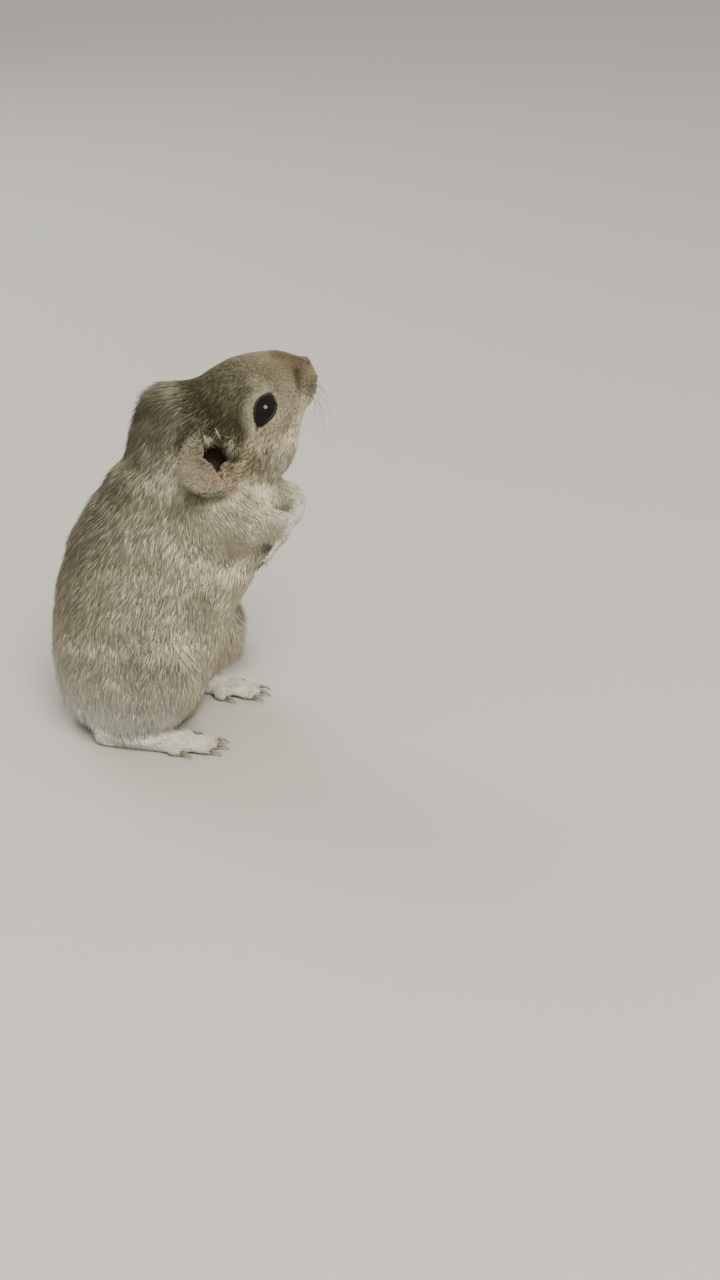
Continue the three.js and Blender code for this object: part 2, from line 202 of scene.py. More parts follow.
# Claw lines: each hind foot has five toes and each forepaw four, and each ends in a short curved claw.
# A claw is told by its root, its bend and its point, from the same sizes in mm as the frame's feet.
BODY_SHIFT = 9.9
FOOT_HEEL = -14
FOOT_LENGTH = 29
FOOT_BALL_SHARE = 0.72
LEFT_FOOT_ADVANCE = 2.5
FOOT_Y = 14.2
TOE_LENGTHS = (4.6, 7, 7.6, 6.8, 4.4)
TOE_STEP = 1.75
TOE_FAN_DEGREES = 8
TOES_INWARD_DEGREES = 5
TOE_ROOT_BACK = 1
OUTER_TOE_BACK = 3.5
TOE_CLAW_BENDS = ((-0.3, 1.45), (1.2, 1.35), (2.4, 0.5))
FINGER_Y = 5.4
FINGER_STEP = 1.25
OUTER_FINGER_UP = 0.8
FINGER_CLAW_BENDS = ((22.5, 0.5, 42.5), (21.4, 0.56, 41.1), (20.9, 0.6, 40))


def claw_lines():
    """For every claw, whether it is a toe's or a finger's, and its three places."""
    lines = []
    for side in (1, -1):
        ball = FOOT_HEEL + FOOT_LENGTH * FOOT_BALL_SHARE + (LEFT_FOOT_ADVANCE if side == 1 else 0)
        for i, length in enumerate(TOE_LENGTHS):
            fan = math.radians((i - 2) * TOE_FAN_DEGREES - TOES_INWARD_DEGREES)
            x = ball - TOE_ROOT_BACK - (OUTER_TOE_BACK if i in (0, 4) else 0) + BODY_SHIFT
            y = FOOT_Y + (i - 2) * TOE_STEP
            bends = [(length + past, z) for past, z in TOE_CLAW_BENDS]
            line = [(x + math.cos(fan) * r, side * (y + math.sin(fan) * r), z) for r, z in bends]
            lines.append(("toe", np.array(line) * MM))
        for i in range(4):
            place = i - 1.5
            y = FINGER_Y + place * FINGER_STEP
            up = OUTER_FINGER_UP if i in (0, 3) else 0
            bends = [(x, y + place * splay, z + up) for x, splay, z in FINGER_CLAW_BENDS]
            line = [(x + BODY_SHIFT, side * across, z) for x, across, z in bends]
            lines.append(("finger", np.array(line) * MM))
    return lines


# Skin: one closed hide over head, trunk, limbs, ears and tail, with no seam between them.
# It is drawn over the frame's flesh, welded whole, smoothed, and sunk by the depth of the coat.
SKIN_VOXEL = 0.54 * MM
SKIN_GROW = 0.22 * MM
SOCKET_GROW = 0.5 * MM
SAME_PLACE = 1e-6
CLAW_REACH = (0.55 * MM, 4 * MM)
CLAW_ROOM = 1.3 * MM
FACE_START = -4.5 * MM
FACE_CENTRE = (4 * MM, 0, -3 * MM)
FACE_RADIUS = 17 * MM
EAR_REACH = 8.5 * MM
flesh_nodes = sorted(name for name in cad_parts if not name.startswith("eye"))


def node_form(name):
    form = bmesh.new()
    form.from_mesh(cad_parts[name].data)
    bmesh.ops.remove_doubles(form, verts=form.verts, dist=SAME_PLACE)
    form.normal_update()
    return form


def trim_claws(form):
    """Cuts the claws off a foot or paw, because they are pieces of their own."""
    claw = set()
    for kind, line in claw_lines():
        root, direction = Vector(line[0]), Vector(line[1] - line[0]).normalized()
        for vert in form.verts:
            reach = (vert.co - root).dot(direction)
            off = (vert.co - root - direction * reach).length
            if CLAW_REACH[0] < reach < CLAW_REACH[1] and off < CLAW_ROOM:
                claw.add(vert)
    bmesh.ops.delete(form, geom=list(claw), context="VERTS")
    bmesh.ops.holes_fill(form, edges=[edge for edge in form.edges if edge.is_boundary])


hide_form = bmesh.new()
carrier = bpy.data.meshes.new("carrier")
for name in sorted(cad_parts):
    form = node_form(name)
    if "foot" in name or "paw" in name:
        trim_claws(form)
        form.normal_update()
    grow = SOCKET_GROW if name.startswith("eye") else SKIN_GROW
    for vert in form.verts:
        vert.co += vert.normal * grow
    form.to_mesh(carrier)
    hide_form.from_mesh(carrier)
    form.free()
rough_skin = add_object("rough_skin", mesh_of(hide_form, "rough_skin"))
welding = rough_skin.modifiers.new("weld_whole", "REMESH")
welding.mode = "VOXEL"
welding.voxel_size = SKIN_VOXEL
graph = bpy.context.evaluated_depsgraph_get()
skin_mesh = bpy.data.meshes.new_from_object(rough_skin.evaluated_get(graph))
bpy.data.objects.remove(rough_skin)

# Of the welded skin only the outer sheet is kept, and the face and the ears are divided once more.
# Each ear has a frame of its own, in the plane of its cup.
EAR_PLACE = in_mm(-14.2, 12.6, 4.15)
EAR_TO_RIM = unit(np.array((-0.85, 0.45, 0.5)))
ear_out = np.array((0.5, 0.8, 0.33))
EAR_FACING = unit(ear_out - EAR_TO_RIM * (ear_out @ EAR_TO_RIM))
EAR_ACROSS = np.cross(EAR_FACING, EAR_TO_RIM)
SIDES = (("left", 1), ("right", -1))


def ear_places(points, sign):
    """Places in an ear's own frame: across it, from root to rim, and out of its cup."""
    local = to_head(points) * (1, sign, 1) - EAR_PLACE
    return np.stack([local @ EAR_ACROSS, local @ EAR_TO_RIM, local @ EAR_FACING], 1)


hide = bmesh.new()
hide.from_mesh(skin_mesh)
hide.verts.ensure_lookup_table()
sheet_of = np.full(len(hide.verts), -1)
for start in hide.verts:
    front = [start] if sheet_of[start.index] < 0 else []
    while front:
        vert = front.pop()
        sheet_of[vert.index] = start.index
        others = [edge.other_vert(vert) for edge in vert.link_edges]
        front += [other for other in others if sheet_of[other.index] < 0]
outer = np.bincount(sheet_of).argmax()
bmesh.ops.delete(hide, geom=[v for v in hide.verts if sheet_of[v.index] != outer], context="VERTS")
hide.faces.ensure_lookup_table()
hide.faces.index_update()
centres = np.array([face.calc_center_median() for face in hide.faces])
fine = to_head(centres)[:, 0] > FACE_START
fine &= length_of(centres - from_head(FACE_CENTRE)) < FACE_RADIUS
for side, sign in SIDES:
    fine |= length_of(ear_places(centres, sign)) < EAR_REACH
fine_edges = {edge for face in hide.faces if fine[face.index] for edge in face.edges}
bmesh.ops.subdivide_edges(hide, edges=list(fine_edges), cuts=1, use_grid_fill=True)
hide.to_mesh(skin_mesh)
hide.free()


def read_array(items, name, width, kind=np.int32):
    values = np.empty(len(items) * width, kind)
    items.foreach_get(name, values)
    return values.reshape(-1, width)


def read_points(mesh, name="co"):
    return read_array(mesh.vertices, name, 3, np.float32).astype(float)


def write_points(mesh, places):
    mesh.vertices.foreach_set("co", places.astype(np.float32).ravel())
    mesh.update()


def relax(values, edges, share, rounds):
    """Moves each point's values by its share towards the mean of its neighbours."""
    here = np.concatenate([edges[:, 0], edges[:, 1]])
    there = np.concatenate([edges[:, 1], edges[:, 0]])
    count = np.bincount(here, minlength=len(values))[:, None]
    for _ in range(rounds):
        columns = [np.bincount(here, values[there, i], len(values)) for i in range(values.shape[1])]
        values = values + share * (np.stack(columns, 1) / count - values)
    return values


# Shares: every point of the skin belongs to the parts of the body near it, blended at their borders.
# They give the depth, length, lie and colour of the coat.
surface = []
owner = []
corners = []
for index, name in enumerate(flesh_nodes):
    form = node_form(name)
    offset = len(corners)
    corners.extend(vert.co.copy() for vert in form.verts)
    for face in form.faces:
        surface.append([vert.index + offset for vert in face.verts])
        owner.append(index)
    form.free()
nearest = BVHTree.FromPolygons(corners, surface)
skin_edges = read_array(skin_mesh.edges, "vertices", 2)
skin_points = read_points(skin_mesh)
part_share = np.zeros((len(skin_points), len(flesh_nodes)))
for i, point in enumerate(skin_points):
    part_share[i, owner[nearest.find_nearest(Vector(point))[2]]] = 1
sharp_share = relax(part_share, skin_edges, share=0.5, rounds=4)
part_share = relax(sharp_share, skin_edges, share=0.9, rounds=22)


def by_part(share, values, rest=0.0):
    """A value for each point from values given for parts whose names start as told."""
    column = np.full(len(flesh_nodes), float(rest))
    for i, name in enumerate(flesh_nodes):
        for start, value in values.items():
            if name.startswith(start):
                column[i] = value
    return share @ column


# Eyelids: the slit is an almond, blunt towards the nose and drawn to a point behind.
# Its edge lies close on the eyeball, and everything round the eye is measured from that edge.
EYE_RADIUS = 4.3 * MM
SLIT_FRONT = 3.7 * MM
SLIT_BACK = 4.0 * MM
SLIT_HALF_HEIGHT = 1.82 * MM
SLIT_BOW = (2.2, 1.5)
SLIT_POINT = (0.62, 0.9)
WIDEST_SINE = 0.98
EYE_GAZE = unit(np.array((0.33, 0.89, 0.34)))
slit_line = np.array((0.93, -0.33, 0.09))
EYE_ALONG = unit(slit_line - EYE_GAZE * (slit_line @ EYE_GAZE))
EYE_UP = np.cross(EYE_ALONG, EYE_GAZE)
EYE_UP *= np.sign(EYE_UP[2])


def slit_outline(turn):
    """Half width of the eye slit in the direction of each turn about the gaze, from the nose's side."""
    steps = np.linspace(-1, 1, 401)
    front = steps > 0
    reach = np.where(front, SLIT_FRONT, SLIT_BACK) * steps
    arch = 1 - np.abs(steps) ** np.where(front, *SLIT_BOW)
    height = SLIT_HALF_HEIGHT * arch ** np.where(front, *SLIT_POINT)
    way = np.arctan2(height, reach)
    order = np.argsort(way)
    return np.interp(np.abs(turn), way[order], np.hypot(reach, height)[order])


def slit_angle(turns):
    """The slit's half width as an angle at the centre of the eyeball."""
    return np.arcsin(np.clip(slit_outline(turns) / EYE_RADIUS, 0, WIDEST_SINE))


def eye_margin(points, side, sign):
    """How far points are outside the edge of the eye slit, and from the centre of the eye."""
    away = ((points - eye_places[side]) @ head_axes) * (1, sign, 1)
    distance = length_of(away)
    heading = away / distance[:, None]
    turn = np.arctan2(heading @ EYE_UP, heading @ EYE_ALONG)
    arc = np.arccos(np.clip(heading @ EYE_GAZE, -1, 1)) * np.maximum(distance, EYE_RADIUS)
    return arc - slit_angle(turn) * EYE_RADIUS, distance


def lid_places(margin, height, turns, side, sign):
    """A ring of places round the eye, a margin outside the slit's edge and a height over the ball."""
    opening = slit_angle(turns) + margin / EYE_RADIUS
    over = np.cos(turns)[:, None] * EYE_ALONG + np.sin(turns)[:, None] * EYE_UP
    heading = np.cos(opening)[:, None] * EYE_GAZE + np.sin(opening)[:, None] * over
    return eye_places[side] + ((EYE_RADIUS + height) * heading * (1, sign, 1)) @ head_axes.T


def to_eye(points):
    """The least margin of the two eyes."""
    return np.minimum(*(eye_margin(points, side, sign)[0] for side, sign in SIDES))


# Depth of the coat: how far the skin lies below the frame's surface, so that the hair ends there.
# It is least on the face, ears and feet and round the eyes.
COAT_DEPTHS = {
    "head": 1.3, "neck": 2.1, "torso": 2.4, "thigh": 2.1, "arm": 1.2, "forepaw": 0.25,
    "hind_foot": 0.3, "ear": 0.1, "tail_base": 1.0, "tail_middle": 1.0, "tail_tip": 0.9,
}
coat_depth = MM * by_part(part_share, COAT_DEPTHS)
in_head = to_head(skin_points)
is_head = by_part(part_share, {"head": 1})
is_face = is_head * fade_mm(-6, 4, in_head[:, 0])
coat_depth *= 1 - 0.72 * is_head * fade_mm(-2, 8, in_head[:, 0])
coat_depth *= 0.1 + 0.9 * fade_mm(0.5, 5, to_eye(skin_points))
coat_depth = relax(coat_depth[:, None], skin_edges, share=0.8, rounds=8)[:, 0]
is_body = by_part(part_share, {"head": 1, "neck": 1, "torso": 1, "thigh": 1, "arm": 1})
is_body *= 1 - is_face
for side, sign in SIDES:
    is_body *= fade_mm(6, 10, length_of(ear_places(skin_points, sign)))

# Folds: muscle and fat run on under the skin, so the folds between neighbouring parts are filled.
# The flank above the haunch, the foot of the neck and the nape are then drawn out a little.
# Last the facets are smoothed, and the skin is sunk under its coat in steps.
FILL_STEPS = 4
FILL_ROUNDS = 70
FLANK_STEPS = 3
FLANK_ROUNDS = 260
BLEND_ROUNDS = 60
FLANK_HEIGHTS = (0.014, 0.02)
HAUNCH_RISE = 1.3 * MM
HAUNCH_TOP = 0.031
NECK_FOOT_RISE = 1.9 * MM
NAPE_RISE = 1.9 * MM
NAPE_WAY = np.array((-0.35, 0, 0.94))
INSET_STEPS = 5


def fill_folds(points, share, rounds):
    """Raises hollows towards the mean of their surroundings."""
    write_points(skin_mesh, points)
    normals = read_points(skin_mesh, "normal")
    smooth = relax(points, skin_edges, share=0.9, rounds=rounds)
    rise = np.sum((smooth - points) * normals, 1)
    return points + normals * (np.clip(rise, 0, 1) * share)[:, None]


def blend_around(values, rounds):
    """Blends one value for each point of the skin into its surroundings."""
    return relax(values[:, None], skin_edges, share=0.9, rounds=rounds)[:, 0]


def border(one, other):
    """1 where two parts of the body meet, falling to 0 inside each."""
    return 4 * by_part(part_share, {one: 1}) * by_part(part_share, {other: 1})


for _ in range(FILL_STEPS):
    skin_points = fill_folds(skin_points, is_body, FILL_ROUNDS)
behind_neck = fade(0.3, -0.2, read_points(skin_mesh, "normal")[:, 0])
flank = border("thigh", "torso") + border("arm", "torso") + border("neck", "torso") * behind_neck
flank = np.clip(3 * blend_around(flank, 150), 0, 1)
flank *= fade(*FLANK_HEIGHTS, skin_points[:, 2])
for _ in range(FLANK_STEPS):
    skin_points = fill_folds(skin_points, flank * is_body, FLANK_ROUNDS)

normals = read_points(skin_mesh, "normal")
height = skin_points[:, 2]
above_haunch = fade(0.022, HAUNCH_TOP, height) * fade(0.042, HAUNCH_TOP, height)
facing_side = fade(0.3, 0.8, np.abs(normals[:, 1]))
above_haunch *= facing_side * by_part(part_share, {"torso": 1, "thigh": 1})
above_haunch = blend_around(above_haunch, BLEND_ROUNDS)
skin_points[:, 1] += HAUNCH_RISE * above_haunch * np.sign(skin_points[:, 1])
neck_foot = border("neck", "torso") * fade(0.1, -0.5, normals[:, 0])
neck_foot = blend_around(neck_foot, BLEND_ROUNDS)
skin_points += (NECK_FOOT_RISE * neck_foot)[:, None] * unit(normals * (1, 1, 0))
in_nape = border("head", "neck") * fade(-0.1, 0.5, normals[:, 2])
in_nape = blend_around(in_nape, BLEND_ROUNDS)
skin_points += (NAPE_RISE * in_nape)[:, None] * NAPE_WAY

FINE_PARTS = {"ear": 0.25, "forepaw": 0.25, "hind_foot": 0.25, "tail": 0.5}
smoothing = by_part(part_share, FINE_PARTS, rest=1.0)
smoothing = (smoothing * (1 - 0.55 * is_face))[:, None]
skin_points = relax(skin_points, skin_edges, share=0.6 * smoothing, rounds=8)
for _ in range(INSET_STEPS):
    write_points(skin_mesh, skin_points)
    normals = read_points(skin_mesh, "normal")
    skin_points -= normals * ((coat_depth + SKIN_GROW) / INSET_STEPS)[:, None]
    skin_points = relax(skin_points, skin_edges, share=0.5 * smoothing, rounds=3)

# Eye sockets: round each eye the skin comes down to the ball and closes under it,
# so that no gap is left between the two under the lids.
BALL_SINK = 0.5 * MM
LID_LIFT = 0.06 * MM
SOCKET_REACH = 9 * MM
SOCKET_MARGIN = 5 * MM
for side, sign in SIDES:
    margin, distance = eye_margin(skin_points, side, sign)
    near = (distance < SOCKET_REACH) & (margin < SOCKET_MARGIN)
    low = EYE_RADIUS - BALL_SINK + (BALL_SINK + LID_LIFT) * fade_mm(-0.4, 0.7, margin)
    target = low + (distance - low) * fade_mm(0.5, 3.6, margin)
    scale = np.where(near, target / distance, 1)[:, None]
    skin_points = eye_places[side] + (skin_points - eye_places[side]) * scale

# Ears: the cup deepens to the ear hole near its root.
# A notch of bare skin runs from the hole to the lower edge of the ear.
HOLE_PLACE = in_mm(1.9, -3.9)
HOLE_HALF = in_mm(3.1, 2.7)
NOTCH_START = in_mm(0.3, -2.8)
NOTCH_END = in_mm(-4.4, -0.6)
HOLE_DEPTH = 3.2
NOTCH_DEPTH = 0.7
EAR_RADIUS = 6.3 * MM


def ear_hole(points, sign):
    """1 inside the ear hole and its notch, the same for the hole alone, and the places in the ear."""
    place = ear_places(points, sign)
    off = (place[:, :2] - HOLE_PLACE) / HOLE_HALF
    turn = np.arctan2(off[:, 1], off[:, 0])
    edge = 1 + 0.09 * np.sin(5 * turn + 1) + 0.06 * np.sin(11 * turn)
    hole = fade(1.1, 0.9, length_of(off) / edge)
    gap, along = near_line(place[:, :2], NOTCH_START, NOTCH_END)
    notch = fade(1.15, 0.75, gap / (MM * (1.35 - 1.05 * along)))
    inside = fade_mm(2.1, 0.8, place[:, 2]) * fade_mm(-9, -7.5, place[:, 2])
    return np.maximum(hole, notch) * inside, hole * inside, place


def cup_way(sign):
    """The way the cup of one ear faces."""
    return from_head(EAR_FACING * (1, sign, 1)) - head_place


write_points(skin_mesh, skin_points)
normals = read_points(skin_mesh, "normal")
for side, sign in SIDES:
    opening, hole, place = ear_hole(skin_points, sign)
    inner = fade(0.0, 0.4, normals @ cup_way(sign))
    inner *= fade(EAR_RADIUS, 5.2 * MM, length_of(place[:, :2]))
    depth = MM * (HOLE_DEPTH * hole + NOTCH_DEPTH * (opening - np.minimum(hole, opening)))
    skin_points -= cup_way(sign) * (depth * inner)[:, None]

# Nose and mouth: comma-shaped nostrils, a cleft below them, and the line of the closed lips.
# All are creases in the skin, and the lips swell a little on both sides of their line.
NOSTRIL_PLACE = np.array((NOSE_X + 0.2 * MM, 1.25 * MM, -4.9 * MM))
NOSTRIL_HALVES = (0.85, 0.5, 2.2)
NOSTRIL_DEPTH = 0.75 * MM
PAD_PLACE = np.array((NOSE_X, 0, -5.3 * MM))
PAD_HALVES = (1.5, 0.95, 2.5)
MOUTH_CORNER = 5.2 * MM
LIP_FORWARD = (MOUTH_CORNER, 9.5 * MM, NOSE_X)
LIP_HEIGHTS = (-9.4 * MM, -8.3 * MM, -8.0 * MM)
LIP_DEPTH = 0.6 * MM
LIP_SWELL = 0.9 * MM


def mouth_line(points):
    """How deep in the line of the lips or in the cleft under the nose a place is, from 0 to 1."""
    forward, across, up = to_head(points).T
    lips = fade_mm(0.34, 0.05, np.abs(up - np.interp(forward, LIP_FORWARD, LIP_HEIGHTS)))
    lips *= fade(MOUTH_CORNER - 0.4 * MM, 6.4 * MM, forward)
    cleft = fade_mm(0.28, 0.04, np.abs(across)) * fade_mm(-8.2, -7.8, up)
    cleft *= fade_mm(-5.3, -5.9, up) * fade_mm(9.5, 10.5, forward)
    return np.maximum(lips, cleft)


def oval(across, up, forward, halves):
    """How far places are from the middle of an oval of three half sizes in mm, 1 at its edge."""
    wide, high, deep = halves
    return np.sqrt((across / wide) ** 2 + (up / high) ** 2 + (forward / deep) ** 2) / MM


def nostrils(points):
    """1 in a nostril, 0 outside. Its upper edge curls round towards the cheek."""
    place = to_head(points)
    place = np.stack([place[:, 0], np.abs(place[:, 1]), place[:, 2]], 1) - NOSTRIL_PLACE
    forward, across, up = place.T
    curl = up - 0.35 * across + 0.5 * np.maximum(0, across) ** 2 / MM
    return fade(1.1, 0.5, oval(across, curl, forward, NOSTRIL_HALVES))


def nose_pad(points):
    """The small bare skin between and round the nostrils."""
    forward, across, up = (to_head(points) - PAD_PLACE).T
    return fade(1.2, 0.8, oval(across, up, forward, PAD_HALVES))


write_points(skin_mesh, skin_points)
normals = read_points(skin_mesh, "normal")
mouth = mouth_line(skin_points)
swell = blend_around(mouth, 7)
skin_points += normals * (LIP_SWELL * swell * (1 - mouth) - LIP_DEPTH * mouth)[:, None]
skin_points -= normals * (NOSTRIL_DEPTH * nostrils(skin_points))[:, None]
write_points(skin_mesh, skin_points)

skin = add_object("skin", skin_mesh)
skin_mesh.polygons.foreach_set("use_smooth", np.ones(len(skin_mesh.polygons), bool))

# The hide's flat pattern: it is cut in pieces and laid out,
# so that every tuft of the coat can take its place from it.
bpy.context.view_layer.objects.active = skin
skin.select_set(True)
bpy.ops.object.mode_set(mode="EDIT")
bpy.ops.mesh.select_all(action="SELECT")
bpy.ops.uv.smart_project(angle_limit=math.radians(66), island_margin=0.002)
bpy.ops.object.mode_set(mode="OBJECT")
skin_mesh.uv_layers[0].name = "OFBake"

# Markings: grey agouti back and crown, paler flanks, near-white belly, throat and feet,
# a pale ring round the eye, and a brown bridge of the nose with a dark streak beside it.
# Painted shade darkens the ear holes, the creases of nose and mouth, and fur facing upwards on trunk,
# neck and thighs;
# the skin between the tufts is darkened partly for dark underfur and partly as painted shade under the
# hair.
# The same function colours the skin and every tuft by where its root is.
BACK_TONE = (0.3, 0.272, 0.178)
CROWN_TONE = (0.078, 0.07, 0.034)
FLANK_TONE = (0.57, 0.525, 0.385)
GREY_TONE = (0.66, 0.65, 0.56)
HAUNCH_TONE = (0.88, 0.87, 0.78)
CHEEK_TONE = (0.45, 0.395, 0.26)
BELLY_TONE = (0.76, 0.7, 0.53)
FOOT_TONE = (0.8, 0.77, 0.64)
MUZZLE_TONE = (0.2, 0.15, 0.08)
STREAK_TONE = (0.09, 0.07, 0.042)
LIP_TONE = (0.31, 0.26, 0.165)
EAR_TONE = (0.37, 0.33, 0.215)
EAR_SKIN_TONE = (0.2, 0.18, 0.1)
EAR_EDGE_TONE = (0.46, 0.34, 0.23)
# The ear hole's tone is painted shade, near black.
EAR_HOLE_SHADE_TONE = (0.035, 0.014, 0.005)
NOTCH_TONE = (0.5, 0.3, 0.25)
PALE_TONE = (0.52, 0.47, 0.34)
NOSE_TONE = (0.24, 0.16, 0.12)
RING_TONE = (0.44, 0.4, 0.27)
TAIL_TONE = (0.3, 0.25, 0.16)
TUFT_TONE = (0.045, 0.04, 0.032)
# Dark bare skin of the lids and eye rims; the same tone is painted shade in the creases of nose and
# mouth.
DARK_SKIN_AND_SHADE_TONE = (0.035, 0.026, 0.02)
# The belly's pale coat begins in front of this line up the side: heights and how far forward, in mm.
BELLY_LINE_HEIGHTS = (7.5, 12, 18, 31, 45, 55, 66)
BELLY_LINE_FORWARD = (10.4, 14.4, 17.4, 21.4, 26.4, 28.4, 28.4)
RUMP_WAY = np.array((0.93, 0, -0.36))
BREAST_WAY = np.array((0.97, 0, -0.25))
# How deeply painted shade darkens fur that faces upwards on trunk, neck and thighs.
PAINTED_TOP_SHADE = 0.32
STREAK_START = in_mm(10.6, 4.3, -2.6)
STREAK_END = in_mm(7.0, 6.6, -5.6)
SKIN_UNDER_COAT = 0.7


def blotches(points, size, seed):
    """Soft random patches from -1 to 1 made of a few crossed waves."""
    draw = np.random.default_rng(seed)
    total = np.zeros(len(points))
    for _ in range(10):
        way = draw.normal(size=3)
        way *= draw.uniform(0.6, 1.7) / np.linalg.norm(way) / size
        total += np.sin(points @ way * 2 * math.pi + draw.uniform(0, 2 * math.pi))
    return np.clip(total / 4, -1, 1)


def trunk_coat(points, normals, share):
    """The colour of the coat on neck, trunk and limbs, painted shade included, and the share of the
    pale belly in it.
    """
    height = points[:, 2]
    behind = fade(-0.06, -0.8, normals @ RUMP_WAY)
    colour = mix(FLANK_TONE, BACK_TONE, 0.85 * behind * fade(0.01, 0.045, height))
    low = fade(0.03, 0.008, height + 0.004 * blotches(points, 0.015, 8))
    clouds = 0.6 * fade(0.2, 0.9, blotches(points, 0.013, 9)) * (1 - 0.9 * behind)
    colour = mix(colour, GREY_TONE, np.clip(low + clouds, 0, 1) * 0.8)
    lowest = fade(0.02, 0.006, height + 0.003 * blotches(points, 0.01, 10))
    colour = mix(colour, HAUNCH_TONE, lowest)
    belly_line = np.interp(height / MM, BELLY_LINE_HEIGHTS, BELLY_LINE_FORWARD)
    forward = points[:, 0] / MM - belly_line
    belly = fade(-0.9, 1.3, forward + 0.9 * blotches(points, 0.008, 3))
    frontal = fade(0.6, 0.84, normals @ BREAST_WAY + 0.1 * blotches(points, 0.006, 11))
    belly = np.maximum(belly, frontal * fade(-4, -1, forward))
    belly = belly * by_part(share, {"torso": 1, "neck": 1, "thigh": 1, "arm": 0.35})
    colour = mix(colour, BELLY_TONE, belly)
    # Painted shade: fur that faces upwards, low on the trunk or where it faces backwards, is darkened
    # against the lamp from above.
    top_shade = np.maximum(fade(0.055, 0.048, height), 0.7 * fade(0.2, 0.8, behind))
    top_shade = fade(0.12, 0.5, normals[:, 2]) * top_shade
    top_shade *= by_part(share, {"torso": 1, "thigh": 1, "neck": 0.6})
    colour *= 1 - PAINTED_TOP_SHADE * top_shade[:, None]
    nape = by_part(share, {"neck": 1, "torso": 1}) * fade(0.3, -0.5, normals[:, 0])
    nape *= fade(0.044, 0.082, height + 0.005 * blotches(points, 0.009, 12))
    patchy = fade(-1.5, 0.1, blotches(points, 0.007, 6))
    return mix(colour, CROWN_TONE, 0.8 * nape * patchy), belly


def head_coat(points, normals):
    """The colour of the coat on the head: crown, cheek, throat, lips, bridge, streak and nose."""
    local = to_head(points)
    forward, up = local[:, 0], local[:, 2]
    crown = fade(-0.35, 0.45, (normals @ head_axes)[:, 2] + 0.35 * blotches(points, 0.006, 4))
    crown *= 1 - 0.25 * fade_mm(-3, 5, forward)
    colour = mix(CHEEK_TONE, CROWN_TONE, crown * fade_mm(17, 2, forward))
    throat = fade_mm(-4, -9, up + 1.2 * MM * blotches(points, 0.006, 7))
    colour = mix(colour, BELLY_TONE, 0.85 * throat)
    colour = mix(colour, LIP_TONE, fade_mm(6.5, 9.5, forward))
    bridge = fade_mm(9, 11, forward) * fade_mm(-5.4, -3.2, up)
    colour = mix(colour, MUZZLE_TONE, bridge)
    mirrored = np.stack([forward, np.abs(local[:, 1]), up], 1)
    gap, along = near_line(mirrored, STREAK_START, STREAK_END)
    colour = mix(colour, STREAK_TONE, fade_mm(1.25, 0.2, gap) * (1 - 0.5 * along))
    return mix(colour, NOSE_TONE, nose_pad(points))


def paint_ear(colour, points, normals, is_ear, sign):
    """Lays the colours of one ear over the rest: bare skin in its cup, painted shade in its hole, coat
    outside.
    """
    opening, hole, place = ear_hole(points, sign)
    across, along, out = place.T
    radius = length_of(place[:, :2])
    cup = fade(-0.4, 0, normals @ cup_way(sign)) * fade_mm(7.4, 6.6, radius)
    cup = cup * fade_mm(3, 1.5, out) * fade(0.1, 0.4, is_ear)
    from_hole = length_of(place[:, :2] - HOLE_PLACE)
    inside = mix(EAR_SKIN_TONE, EAR_TONE, fade_mm(1.6, 3.4, from_hole))
    lip = fade_mm(2.2, 3, from_hole) * fade_mm(4.4, 3.4, from_hole)
    inside = mix(inside, PALE_TONE, 0.6 * lip)
    shaded = 0.7 * fade_mm(6, 3.4, from_hole) * fade_mm(-0.5, 2, across)
    inside = mix(inside, EAR_SKIN_TONE, shaded * fade_mm(2.6, 3.4, from_hole))
    edge = fade_mm(-0.8, -3, across) * fade_mm(2.5, -1, along)
    inside = mix(inside, EAR_EDGE_TONE, edge)
    front = fade_mm(1, 4.5, across)
    inside = mix(inside, BACK_TONE, 0.6 * front)
    # Painted shade: the ear hole and its notch are darkened almost to black; the notch's middle then
    # takes its pink skin.
    inside = mix(inside, EAR_HOLE_SHADE_TONE, opening)
    gap = near_line(place[:, :2], (NOTCH_START + NOTCH_END) / 2, NOTCH_END)[0]
    inside = mix(inside, NOTCH_TONE, 0.9 * fade_mm(0.75, 0.25, gap))
    outside = mix(EAR_TONE, BACK_TONE, 0.8 * front)
    colour = mix(colour, inside, cup)
    return mix(colour, outside, is_ear * (1 - cup) * fade_mm(9, 7, radius))


def markings(points, normals, share):
    """The coat's colour at points of the skin, with painted shade in the ear holes, the creases and on
    upward fur.
    """
    head = by_part(share, {"head": 1, "ear": 1})
    colour, belly = trunk_coat(points, normals, share)
    colour = mix(colour, head_coat(points, normals), head)
    margin = to_eye(points)
    colour = mix(colour, RING_TONE, 0.85 * fade_mm(3.8, 1, margin) * head)
    colour = mix(colour, DARK_SKIN_AND_SHADE_TONE, fade_mm(0.55, 0.1, margin))
    colour = mix(colour, FOOT_TONE, by_part(share, {"hind_foot": 1, "forepaw": 1}))
    colour = mix(colour, TAIL_TONE, by_part(share, {"tail": 1}))
    colour = mix(colour, TUFT_TONE, by_part(share, {"tail_tip": 0.85}))
    colour *= 1 + (0.15 * blotches(points, 0.0045, 5) * (1 - 0.6 * belly))[:, None]
    # Painted shade: the line of the lips and the nostrils are darkened as creases and holes that lie in
    # shade.
    creases = np.maximum(0.8 * mouth_line(points), nostrils(points))
    colour = mix(colour, DARK_SKIN_AND_SHADE_TONE, creases * head)
    is_ear = by_part(share, {"ear": 1})
    for side, sign in SIDES:
        colour = paint_ear(colour, points, normals, is_ear, sign)
    return np.clip(colour, 0.004, 0.92)


def write_colour(mesh, colours):
    layer = mesh.color_attributes.new("Markings", "FLOAT_COLOR", "POINT")
    values = np.ones((len(colours), 4), np.float32)
    values[:, :3] = colours
    layer.data.foreach_set("color", values.ravel())


